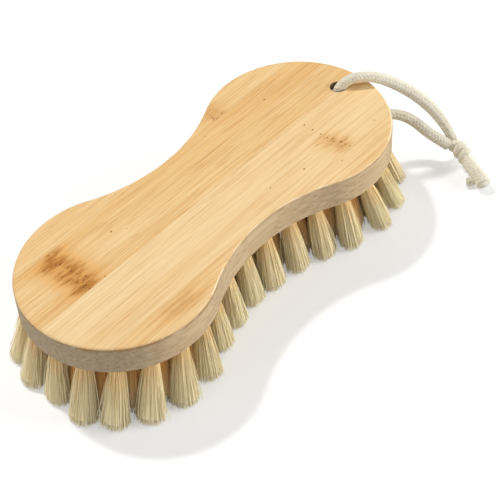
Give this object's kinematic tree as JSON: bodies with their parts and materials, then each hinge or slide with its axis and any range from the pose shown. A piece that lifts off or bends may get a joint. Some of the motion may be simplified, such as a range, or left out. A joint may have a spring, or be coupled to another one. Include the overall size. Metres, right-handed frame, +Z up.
{
  "type": "scrub brush",
  "caption": "Waisted bamboo scrub brush with rows of stiff fibre tufts set in its underside and a knotted cotton hanging loop at one end.",
  "frame": {"origin": "on the surface that the tuft tips stand on, under the middle of the brush without its cord", "axes": "+X along the board towards the end with the cord hole, +Z up from the tuft tips to the board's top face"},
  "size_m": [0.1733, 0.0856, 0.0388],
  "materials": {
    "bamboo": "matte",
    "bamboo_pale": "matte",
    "bristle": "matte",
    "cotton_cord": "matte"
  },
  "bodies": {
    "root": {"bamboo_cheek_hole_end_back": "bamboo_pale", "bamboo_cheek_hole_end_front": "bamboo_pale", "bamboo_cheek_plain_end_back": "bamboo_pale", "bamboo_cheek_plain_end_front": "bamboo_pale", "bamboo_strip_middle_back": "bamboo", "bamboo_strip_middle_front": "bamboo", "cord_knot": "cotton_cord", "cord_lower_run": "cotton_cord", "cord_upper_run": "cotton_cord", "core_tufts_hole_end": "bristle", "core_tufts_plain_end": "bristle", "inner_tufts_hole_end_back": "bristle", "inner_tufts_hole_end_front": "bristle", "inner_tufts_plain_end_back": "bristle", "inner_tufts_plain_end_front": "bristle", "outer_tuft_01": "bristle", "outer_tuft_02": "bristle", "outer_tuft_03": "bristle", "outer_tuft_04": "bristle", "outer_tuft_05": "bristle", "outer_tuft_06": "bristle", "outer_tuft_07": "bristle", "outer_tuft_08": "bristle", "outer_tuft_09": "bristle", "outer_tuft_10": "bristle", "outer_tuft_11": "bristle", "outer_tuft_12": "bristle", "outer_tuft_13": "bristle", "outer_tuft_14": "bristle", "outer_tuft_15": "bristle", "outer_tuft_16": "bristle", "outer_tuft_17": "bristle", "outer_tuft_18": "bristle", "outer_tuft_19": "bristle", "outer_tuft_20": "bristle", "outer_tuft_21": "bristle", "outer_tuft_22": "bristle", "outer_tuft_23": "bristle", "outer_tuft_24": "bristle", "outer_tuft_25": "bristle", "outer_tuft_26": "bristle", "outer_tuft_27": "bristle", "outer_tuft_28": "bristle", "outer_tuft_29": "bristle", "outer_tuft_30": "bristle", "outer_tuft_31": "bristle", "outer_tuft_32": "bristle", "outer_tuft_33": "bristle"}
  },
  "joints": []
}
